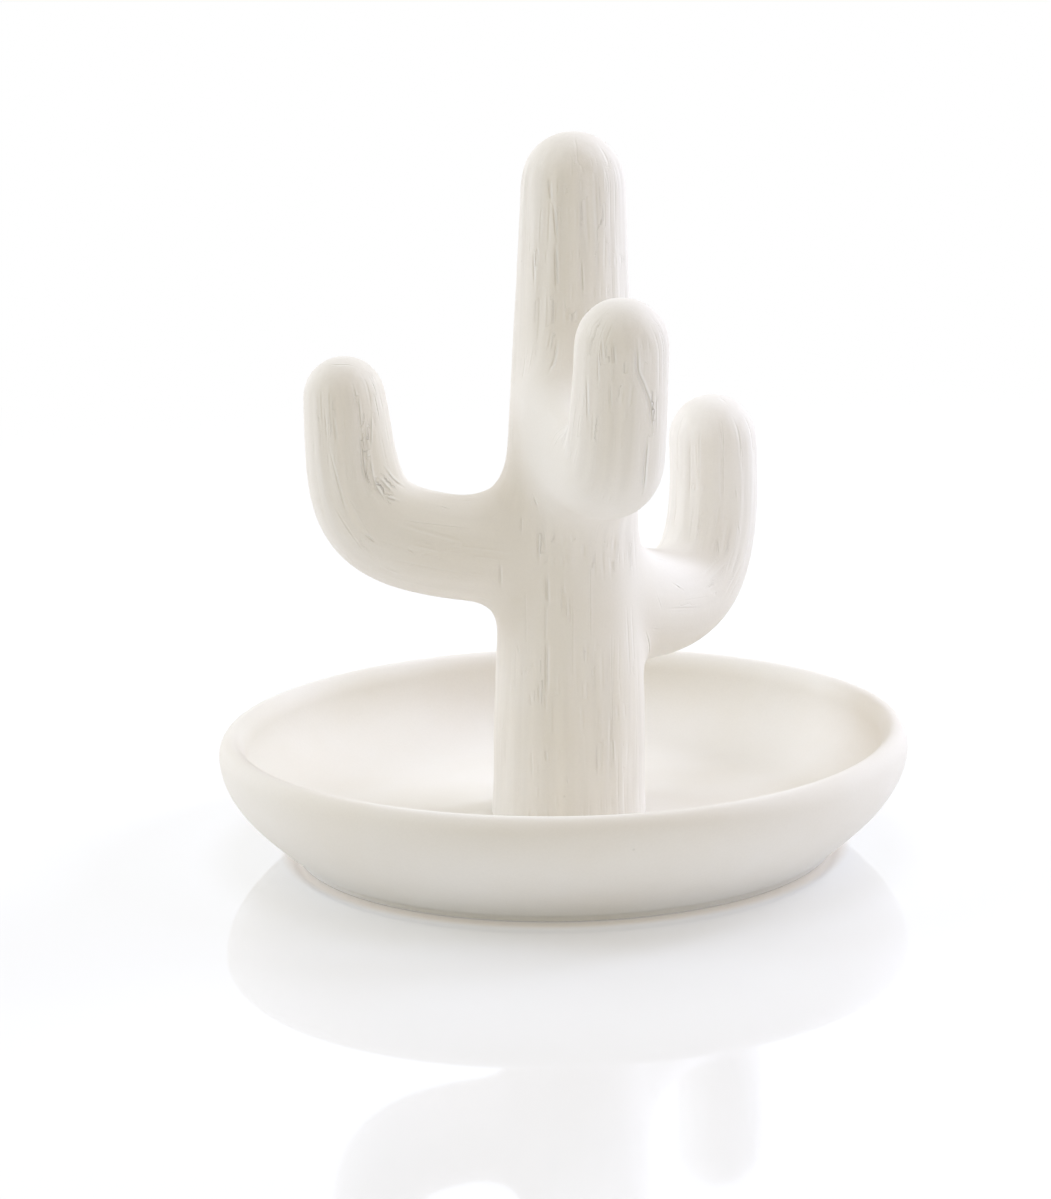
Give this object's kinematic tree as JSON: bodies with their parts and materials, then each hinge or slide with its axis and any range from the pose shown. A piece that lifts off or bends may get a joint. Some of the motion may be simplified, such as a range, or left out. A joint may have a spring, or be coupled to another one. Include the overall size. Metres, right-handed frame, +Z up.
{
  "type": "ring holder",
  "caption": "Free-standing ceramic ring holder: a cactus with upturned arms for rings, standing in a round shallow dish for small jewellery.",
  "frame": {"origin": "on the table, at the middle of the dish's foot ring", "axes": "+Z up along the trunk; +X to the right seen from the front; +Y away from the front"},
  "size_m": [0.11, 0.11, 0.1143],
  "materials": {
    "dish_bisque": "matte, smooth unglazed",
    "cactus_bisque": "matte, combed unglazed"
  },
  "bodies": {
    "root": {"dish": "dish_bisque", "trunk": "cactus_bisque", "left_arm": "cactus_bisque", "right_arm": "cactus_bisque", "front_arm": "cactus_bisque"}
  },
  "joints": []
}
